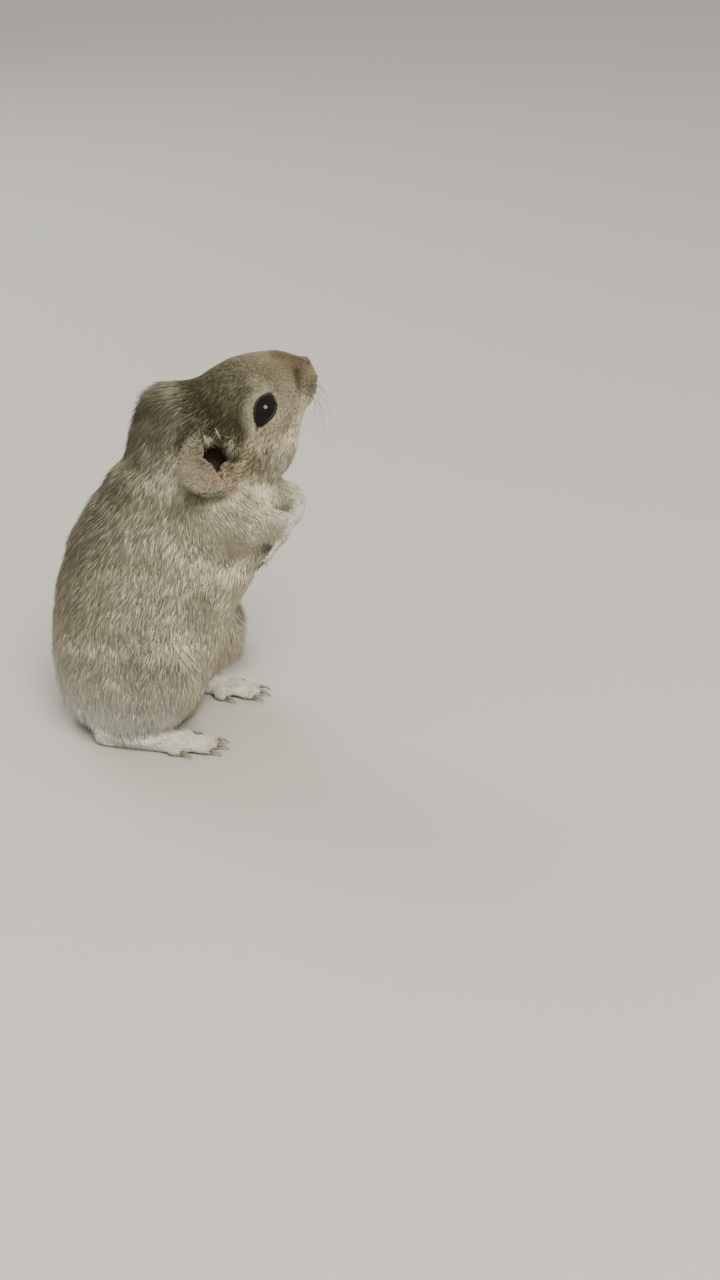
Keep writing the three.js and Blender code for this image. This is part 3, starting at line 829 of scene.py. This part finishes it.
skin_normals = read_points(skin_mesh, "normal")
skin_normals = unit(relax(skin_normals, skin_edges, share=0.9, rounds=10))
# The skin between the tufts takes the coat's colour darkened, partly for the dark slate underfur and
# partly as painted shade under the hair.
hide_colours = markings(skin_points, skin_normals, part_share) * SKIN_UNDER_COAT
write_colour(skin_mesh, hide_colours)


def add_grain(material, grains_to_metre):
    """Adds a fine noise that is fixed to the piece."""
    nodes = material.node_tree.nodes
    place = nodes.new("ShaderNodeTexCoord")
    grain = nodes.new("ShaderNodeTexNoise")
    grain.name = "grain"
    grain.inputs["Scale"].default_value = grains_to_metre
    material.node_tree.links.new(place.outputs["Object"], grain.inputs["Vector"])
    return grain, nodes, material.node_tree.links


def painted(name, roughness, specular, grain_size, grain_share):
    """A material that takes its colour from the markings and breaks it with a fine grain."""
    material, shade = new_material(name, roughness)
    shade.inputs["Specular IOR Level"].default_value = specular
    grain, nodes, links = add_grain(material, 1 / grain_size)
    grain.inputs["Detail"].default_value = 3
    paint = nodes.new("ShaderNodeVertexColor")
    paint.layer_name = "Markings"
    tone = nodes.new("ShaderNodeMix")
    tone.data_type = "RGBA"
    tone.blend_type = "OVERLAY"
    tone.inputs["Factor"].default_value = grain_share
    links.new(paint.outputs["Color"], tone.inputs["A"])
    links.new(grain.outputs["Fac"], tone.inputs["B"])
    links.new(tone.outputs["Result"], shade.inputs["Base Color"])
    return material


hide_leather = painted("hide", roughness=0.6, specular=0.14, grain_size=0.5 * MM, grain_share=0.35)
nodes = hide_leather.node_tree.nodes
links = hide_leather.node_tree.links
bump = nodes.new("ShaderNodeBump")
bump.inputs["Strength"].default_value = 0.35
bump.inputs["Distance"].default_value = 0.15 * MM
links.new(nodes["grain"].outputs["Fac"], bump.inputs["Height"])
links.new(bump.outputs["Normal"], nodes["Principled BSDF"].inputs["Normal"])
skin_mesh.materials.append(hide_leather)
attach(skin, "root")
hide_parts(*flesh_nodes)

# Coat: short soft hairs in fine flat tufts, rooted in the skin and lying back along the body,
# from the nose over head and neck down the trunk, down each limb to the toes and out along the tail.
# A tuft is a slim leaf: a point at the root, three corners where it bends and a point at the tip.
TAIL_ROUTE = MM * (np.array((
    (-18, 0, 7.5), (-24.8, 8, 4.1), (-28.3, 19, 2.9), (-27.6, 31, 2.6),
    (-22.5, 41, 2.3), (-13.5, 46.5, 2), (-4.5, 44, 1.8), (-0.5, 36.5, 1.5),
)) + (BODY_SHIFT, 0, 0))
TAIL_REACH = 2.5 * MM
COAT_WAYS = (
    ({"neck": 1, "torso": 1}, (-0.3, 0, -0.95)),
    ({"thigh": 1}, (-0.1, 0, -1)),
    ({"arm": 1}, (0.5, 0, -0.85)),
    ({"forepaw": 1}, (-0.1, 0, -1)),
    ({"hind_foot": 1}, (1, 0, -0.2)),
)
SWIRL = 0.22
HAIR_LENGTHS = {
    "head": 3.6, "neck": 4.8, "torso": 5.2, "thigh": 4.8, "arm": 3.0, "forepaw": 0.9,
    "hind_foot": 1.2, "ear": 1.7, "tail_base": 2.4, "tail_middle": 2.8, "tail_tip": 4.4,
}
HAIR_RISE_DEGREES = {"ear": 15, "forepaw": 10, "hind_foot": 10, "tail": 16, "head": 15}
TRUNK_RISE_DEGREES = 18
WAY_SCATTER = 0.14
LENGTH_RANGE = (0.7, 1.3)
WIDTH_RANGE = (0.65, 1.4)
RISE_RANGE = (0.6, 1.4)
TONE_RANGE = (0.9, 1.1)
DARK_TIP_RANGE = (0.3, 0.65)
PALE_TIP_RANGE = (0.95, 1.18)
ROOT_TONE = 0.75
BEND_SHARE = 0.4
ROOT_RISE = 1.5
TIP_RISE = 0.45
WIDTH_SHARE = 0.034
LEAST_WIDTH = 0.08 * MM
THICKNESS_SHARE = 0.3
MOST_THICKNESS = 0.1 * MM
ROOT_SINK = 0.25 * MM
FLOOR_CLEAR = 0.03 * MM
PATCH = 0.003
TUFT_FACES = np.array([(0, 1, 3), (0, 3, 2), (0, 2, 1), (4, 3, 1), (4, 2, 3), (4, 1, 2)])
TUFT_PLACES = np.array([(0, 0), (-0.5, BEND_SHARE), (0.5, BEND_SHARE), (0, BEND_SHARE), (0, 1)])

skin_mesh.calc_loop_triangles()
triangle_count = len(skin_mesh.loop_triangles)
triangle_verts = read_array(skin_mesh.loop_triangles, "vertices", 3)
triangle_loops = read_array(skin_mesh.loop_triangles, "loops", 3)
pattern = read_array(skin_mesh.uv_layers["OFBake"].data, "uv", 2, np.float32)
two_edges = skin_points[triangle_verts[:, 1:]] - skin_points[triangle_verts[:, :1]]
triangle_area = length_of(np.cross(two_edges[:, 0], two_edges[:, 1])) / 2


def tail_way(points):
    """The direction towards the tip along the tail's route."""
    total = np.full(len(points), 1e-12)
    way = np.zeros((len(points), 3))
    for start, end in zip(TAIL_ROUTE[:-1], TAIL_ROUTE[1:]):
        gap = near_line(points, start, end)[0]
        weight = np.exp(-(gap / TAIL_REACH) ** 2) + 1e-12
        way += weight[:, None] * unit(end - start)
        total += weight
    return way / total[:, None]


def lie(points, normals, share):
    """The way the coat lies at points of the skin, in the surface."""
    local = to_head(points)
    off_midline = np.stack([0 * local[:, 0], local[:, 1], local[:, 2] + 3 * MM], 1)
    off_midline = unit(off_midline) @ head_axes.T
    way = by_part(share, {"head": 1})[:, None] * (-head_axes[:, 0] + 0.2 * off_midline)
    for parts, toward in COAT_WAYS:
        way += by_part(share, parts)[:, None] * np.array(toward)
    for side, sign in SIDES:
        way += by_part(share, {f"ear_{side}": 1})[:, None] * (head_axes @ (EAR_TO_RIM * (1, sign, 1)))
    way += by_part(share, {"tail": 1})[:, None] * tail_way(points)
    way += SWIRL * np.stack([blotches(points, 0.012, seed) for seed in (31, 32, 33)], 1)
    way -= normals * np.sum(way * normals, 1)[:, None]
    return unit(way)


def roots(count, weight, draw):
    """Seeded root places on the skin: point, normal, place in the flat pattern, shares of the parts."""
    chance = triangle_area * weight[triangle_verts].mean(1)
    chosen = draw.choice(triangle_count, count, p=chance / chance.sum())
    a, b = draw.random((2, count))
    over = a + b > 1
    a[over], b[over] = 1 - a[over], 1 - b[over]
    bary = np.stack([1 - a - b, a, b], 1)

    def take(values, corners):
        return np.einsum("ij,ijk->ik", bary, values[corners[chosen]])

    return (
        take(skin_points, triangle_verts),
        unit(take(skin_normals, triangle_verts)),
        take(pattern, triangle_loops),
        take(part_share, triangle_verts),
    )


hair_coat = painted("hair_coat", roughness=0.6, specular=0.14, grain_size=0.9 * MM, grain_share=0.15)
hair_coat.node_tree.nodes["Principled BSDF"].inputs["Sheen Weight"].default_value = 0.06


def hair_length(points, share):
    """Length of the hair in metres, shorter towards the nose and round the eyes."""
    muzzle = by_part(share, {"head": 1}) * fade_mm(-3, 9, to_head(points)[:, 0])
    long = by_part(share, HAIR_LENGTHS)
    long *= 0.28 + 0.72 * fade_mm(0.3, 5, to_eye(points))
    return MM * long * (1 - 0.74 * muzzle)


def grow_tufts(
    name, count, weight, seed, ticking=0.0, way_of=lie, size=1.0, tint=None, rise=None,
):
    """Joins count tufts into one piece. ticking is the share of hairs with a dark tip."""
    draw = np.random.default_rng(seed)
    place, normal, flat, share = roots(count, weight, draw)
    way = way_of(place, normal, share) + WAY_SCATTER * draw.normal(size=(count, 3))
    way = unit(way - normal * np.sum(way * normal, 1)[:, None])
    across = np.cross(normal, way)
    base = hair_length(place, share) * size
    long = base * draw.uniform(*LENGTH_RANGE, count)
    wide = (WIDTH_SHARE * base + LEAST_WIDTH) * draw.uniform(*WIDTH_RANGE, count)
    if rise is None:
        rise = by_part(share, HAIR_RISE_DEGREES, TRUNK_RISE_DEGREES)
    lift = np.radians(rise) * draw.uniform(*RISE_RANGE, count)
    first, second = [
        np.cos(lift * part)[:, None] * way + np.sin(lift * part)[:, None] * normal
        for part in (ROOT_RISE, TIP_RISE)
    ]
    root = place - normal * ROOT_SINK
    bend = place + first * (long * BEND_SHARE)[:, None]
    tip = bend + second * (long * (1 - BEND_SHARE))[:, None]
    thick = np.minimum(wide * THICKNESS_SHARE, MOST_THICKNESS)[:, None]
    half = across * (wide / 2)[:, None]
    points = np.stack([root, bend - half, bend + half, bend + normal * thick, tip], 1)
    points[:, :, 2] = np.maximum(points[:, :, 2], FLOOR_CLEAR)
    colours = markings(place, normal, share) if tint is None else np.tile(tint, (count, 1))
    dark_tip = draw.random(count) < ticking
    dark_tone = draw.uniform(*DARK_TIP_RANGE, count)
    tip_tone = np.where(dark_tip, dark_tone, draw.uniform(*PALE_TIP_RANGE, count))
    tone = draw.uniform(*TONE_RANGE, count)
    middle_tone = np.where(dark_tip, 0.9, 1)
    corner_tone = np.stack([ROOT_TONE * tone] + [tone * middle_tone] * 3 + [tone * tip_tone], 1)
    corner_colours = np.clip(colours[:, None, :] * corner_tone[:, :, None], 0, 0.95)
    faces = (TUFT_FACES[None] + np.arange(count)[:, None, None] * 5).reshape(-1, 3)
    mesh = bpy.data.meshes.new(name)
    mesh.vertices.add(count * 5)
    mesh.vertices.foreach_set("co", points.astype(np.float32).ravel())
    mesh.loops.add(faces.size)
    mesh.loops.foreach_set("vertex_index", faces.astype(np.int32).ravel())
    mesh.polygons.add(len(faces))
    mesh.polygons.foreach_set("loop_start", np.arange(0, faces.size, 3, dtype=np.int32))
    mesh.polygons.foreach_set("use_smooth", np.ones(len(faces), bool))
    mesh.update(calc_edges=True)
    spots = np.clip(flat[:, None, :] + PATCH * (TUFT_PLACES - (0, BEND_SHARE))[None], 0, 1)
    layer = mesh.uv_layers.new(name="OFBake")
    spots = spots.reshape(-1, 2)[faces.ravel()]
    layer.data.foreach_set("uv", spots.astype(np.float32).ravel())
    write_colour(mesh, corner_colours.reshape(-1, 3))
    mesh.materials.append(hair_coat)
    piece = add_object(name, mesh)
    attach(piece, "root")


TRUNK_MIDDLE = in_mm(6, 0, 30)
TRUNK_FRONT_WAY = np.array((0.94, 0, -0.33))
back_half = fade_mm(2, -2, (skin_points - TRUNK_MIDDLE) @ TRUNK_FRONT_WAY)
left_half = fade_mm(-0.4, 0.4, skin_points[:, 1])
head_left = fade_mm(-0.4, 0.4, to_head(skin_points)[:, 1])
hairy = fade_mm(0.25, 0.6, to_eye(skin_points))
hairy *= fade_mm(0.1, 0.7, skin_points[:, 2])
in_crease = fade(0.15, 0.5, mouth_line(skin_points))
hairy *= 1 - np.maximum(in_crease, fade(0.15, 0.5, nostrils(skin_points)))
hairy *= 1 - 0.85 * nose_pad(skin_points)
hairy *= 1 - np.maximum(*(ear_hole(skin_points, sign)[0] for side, sign in SIDES))
denser = 1 + 1.6 * is_face


def of_part(values):
    return by_part(part_share, values) * hairy


trunk = of_part({"torso": 1})
COAT_PIECES = {
    "coat_head_left": (29000, of_part({"head": 1}) * head_left * denser, 0.2),
    "coat_head_right": (32000, of_part({"head": 1}) * (1 - head_left) * denser, 0.2),
    "coat_neck": (26000, of_part({"neck": 1}), 0.24),
    "coat_back_left": (20500, trunk * back_half * left_half, 0.2),
    "coat_back_right": (23500, trunk * back_half * (1 - left_half), 0.2),
    "coat_belly_left": (15500, trunk * (1 - back_half) * left_half, 0.06),
    "coat_belly_right": (19000, trunk * (1 - back_half) * (1 - left_half), 0.1),
    "coat_thigh_left": (17000, of_part({"thigh_left": 1}), 0.16),
    "coat_thigh_right": (22500, of_part({"thigh_right": 1}), 0.16),
    "coat_arms": (14000, of_part({"arm": 1}), 0.1),
}
for seed, (name, (count, weight, ticking)) in enumerate(COAT_PIECES.items()):
    grow_tufts(name, count, weight, 100 + seed, ticking)
grow_tufts("coat_feet", 13000, of_part({"forepaw": 1, "hind_foot": 1}), 201)
grow_tufts("coat_ears", 8000, of_part({"ear": 1}), 202, 0.3)
grow_tufts("coat_tail", 9000, of_part({"tail": 1, "tail_tip": 2.2}), 203, 0.25)

# Ear fringes and edges: a thin fringe of longer pale hair stands at the front of each ear and hangs
# over its hole, and short hair in the ear's own colours lines the edge of the cup.
BROW_PLACE = in_mm(5.3, -4.2)
EDGE_RADIUS = 5.9 * MM
FRINGE_TONE = np.array(PALE_TONE) * 0.9
for side, sign in SIDES:
    place = ear_places(skin_points, sign)
    brow = fade_mm(2.0, 1.0, length_of(place[:, :2] - BROW_PLACE))
    brow *= fade_mm(-2.5, -1, place[:, 2])
    off_edge = np.abs(length_of(place[:, :2]) - EDGE_RADIUS)
    rim = fade_mm(1.0, 0.4, off_edge) * by_part(sharp_share, {f"ear_{side}": 1})

    def over_hole(points, normals, share, sign=sign):
        return head_axes @ ((-EAR_ACROSS + 0.15 * EAR_TO_RIM + 0.2 * EAR_FACING) * (1, sign, 1))

    def off_rim(points, normals, share, sign=sign):
        spot = ear_places(points, sign)
        way = unit(spot[:, :2])
        way = way[:, :1] * EAR_ACROSS + way[:, 1:] * EAR_TO_RIM + 0.5 * EAR_FACING
        return (way * (1, sign, 1)) @ head_axes.T

    grow_tufts(
        f"ear_fringe_{side}", 150, brow, 300 + sign,
        way_of=over_hole, size=0.85, tint=FRINGE_TONE, rise=26,
    )
    grow_tufts(f"ear_edge_{side}", 1300, rim, 310 + sign, way_of=off_rim, size=0.9, rise=20)

# Eyes: large black wet balls set in the sides of the head, the iris as dark as the pupil.
# Each is a smooth ball with a slightly fuller cornea, held by dark bare lids.
CORNEA_COSINE = 0.6
CORNEA_FULLNESS = 0.3


def mottled(name, roughness, specular, grains_to_metre, dark, pale):
    """A material that runs from a dark to a paler tone in a fine noise."""
    material, shade = new_material(name, roughness)
    shade.inputs["Specular IOR Level"].default_value = specular
    grain, nodes, links = add_grain(material, grains_to_metre)
    tones = nodes.new("ShaderNodeValToRGB")
    tones.color_ramp.elements[0].color = (*dark, 1)
    tones.color_ramp.elements[1].color = (*pale, 1)
    links.new(grain.outputs["Fac"], tones.inputs["Fac"])
    links.new(tones.outputs["Color"], shade.inputs["Base Color"])
    return material


eye_black = mottled(
    "eye_black", roughness=0.1, specular=0.15, grains_to_metre=300,
    dark=(0.003, 0.003, 0.003), pale=(0.01, 0.008, 0.006),
)
for side, sign in SIDES:
    ball = bmesh.new()
    bmesh.ops.create_uvsphere(ball, u_segments=48, v_segments=32, radius=EYE_RADIUS)
    gaze = Vector(head_axes @ (EYE_GAZE * (1, sign, 1)))
    for vert in ball.verts:
        bulge = max(0, vert.co.normalized().dot(gaze) - CORNEA_COSINE) ** 2
        vert.co += gaze * (EYE_RADIUS * CORNEA_FULLNESS * bulge)
    bmesh.ops.translate(ball, verts=ball.verts, vec=Vector(eye_places[side]))
    for face in ball.faces:
        face.smooth = True
    mesh = mesh_of(ball, f"eyeball_{side}")
    mesh.materials.append(eye_black)
    eyeball = add_object(f"eyeball_{side}", mesh)
    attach(eyeball, "root")
    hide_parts(f"eye_{side}")

# Lids: a narrow bare rim of dark skin round each eye.
# It is rounded towards the ball and sunk into the hide. Each ring is told in mm by how far
# it is outside the slit and over the ball.
LID_SEGMENTS = 72
LID_RINGS = (
    (-0.25, -0.25), (-0.1, 0.08), (0.06, 0.2), (0.26, 0.3),
    (0.48, 0.28), (0.58, 0.14), (0.62, -0.35), (0.25, -0.5),
)
LID_DARKENING = 0.4
lid_skin = painted("lid_skin", roughness=0.55, specular=0.15, grain_size=0.4 * MM, grain_share=0.3)


def ring_edges(ring):
    members = set(ring)
    edges = {edge for vert in ring for edge in vert.link_edges}
    return [edge for edge in edges if set(edge.verts) <= members]


def finish_piece(form, name, material):
    """Makes a smooth piece of a form, all in one material, and fixes it to the body."""
    bmesh.ops.recalc_face_normals(form, faces=form.faces)
    for face in form.faces:
        face.smooth = True
    mesh = mesh_of(form, name)
    mesh.materials.append(material)
    piece = add_object(name, mesh)
    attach(piece, "root")
    return piece


lids = bmesh.new()
for side, sign in SIDES:
    rings = []
    turns = np.linspace(-math.pi, math.pi, LID_SEGMENTS, endpoint=False)
    for out, up in LID_RINGS:
        ring = bmesh.ops.create_circle(lids, segments=LID_SEGMENTS, radius=EYE_RADIUS)["verts"]
        for vert, spot in zip(ring, lid_places(out * MM, up * MM, turns, side, sign)):
            vert.co = spot
        rings.append(ring)
    for one, other in zip(rings, rings[1:] + rings[:1]):
        bmesh.ops.bridge_loops(lids, edges=ring_edges(one) + ring_edges(other))
lid_mesh = finish_piece(lids, "eyelids", lid_skin).data
lid_tones = np.tile(np.array(DARK_SKIN_AND_SHADE_TONE) * LID_DARKENING, (len(lid_mesh.vertices), 1))
write_colour(lid_mesh, lid_tones)

# Claws: short, curved and dark, one at the end of every toe and finger.
# Each is a thin cone of horn bent down to its point.
CLAW_HALVES = {"toe": 0.46 * MM, "finger": 0.34 * MM}
CLAW_SHARES = (1.0, 0.92, 0.62, 0.12)
CLAW_SEGMENTS = 10
claw_horn = mottled(
    "claw_horn", roughness=0.35, specular=0.5, grains_to_metre=1200,
    dark=(0.1, 0.08, 0.06), pale=(0.3, 0.24, 0.18),
)


def rod(form, bends, halves, segments):
    """A closed rod through the bends that tapers by its half thickness at each."""
    rings = []
    for index, (centre, half) in enumerate(zip(bends, halves)):
        ahead = bends[min(index + 1, len(bends) - 1)] - bends[max(index - 1, 0)]
        turn = Vector(ahead).to_track_quat("Z", "Y").to_matrix().to_4x4()
        ring = bmesh.ops.create_circle(form, segments=segments, radius=half)["verts"]
        bmesh.ops.transform(form, matrix=Matrix.Translation(Vector(centre)) @ turn, verts=ring)
        rings.append(ring)
    for one, other in zip(rings, rings[1:]):
        bmesh.ops.bridge_loops(form, edges=ring_edges(one) + ring_edges(other))
    bmesh.ops.contextual_create(form, geom=rings[0])
    bmesh.ops.contextual_create(form, geom=rings[-1])


claws = bmesh.new()
for kind, line in claw_lines():
    bends = [line[0], (line[0] + line[1]) / 2, line[1], line[2]]
    rod(claws, bends, [CLAW_HALVES[kind] * part for part in CLAW_SHARES], CLAW_SEGMENTS)
finish_piece(claws, "claws", claw_horn)

# Whiskers: stiff tapering hairs in rows on the pads of the muzzle and a pair over each eye.
# They sweep outwards and bend back, the rear ones longest.
WHISKER_HALF = 0.075 * MM
WHISKER_BENDS = 7
WHISKER_SEGMENTS = 4
WHISKER_TIP_SHARE = 0.12
PAD_HEIGHTS = (-4.3, -5.3, -6.3, -7.2)
PAD_FORWARD = (11.0, 10.1, 9.2, 8.3, 7.4)
BROW_WHISKERS = [((2.5, 8, 5), (0.1, 0.75, 0.65), 9), ((1.2, 8, 5.4), (0, 0.7, 0.7), 7)]
whisker_hair = mottled(
    "whisker_hair", roughness=0.7, specular=0.05, grains_to_metre=150,
    dark=(0.05, 0.042, 0.033), pale=(0.22, 0.2, 0.16),
)
draw = np.random.default_rng(400)
whiskers = bmesh.new()
for side, sign in SIDES:
    starts = [
        ((x, 5.5, z - 0.25 * k % 0.5), (0.35, 0.9, 0.3 - 0.2 * row), 7.5 + 2.3 * k)
        for row, z in enumerate(PAD_HEIGHTS) for k, x in enumerate(PAD_FORWARD)
    ]
    for target, out, length in starts + BROW_WHISKERS:
        target = from_head(np.array(target) * MM * (1, sign, 1))
        root = skin_points[np.argmin(length_of(skin_points - target))]
        out = unit(np.array(out) + 0.1 * draw.normal(size=3)) * (1, sign, 1)
        back = np.array((-0.5, 0, -0.12)) + 0.08 * draw.normal(size=3)
        steps = np.linspace(-0.03, 1, WHISKER_BENDS)[:, None]
        reach = MM * length * draw.uniform(0.85, 1.1)
        line = root + reach * ((steps * out + steps ** 2 * back) @ head_axes.T)
        halves = WHISKER_HALF * np.linspace(1, WHISKER_TIP_SHARE, WHISKER_BENDS)
        rod(whiskers, line, halves, WHISKER_SEGMENTS)
finish_piece(whiskers, "whiskers", whisker_hair)
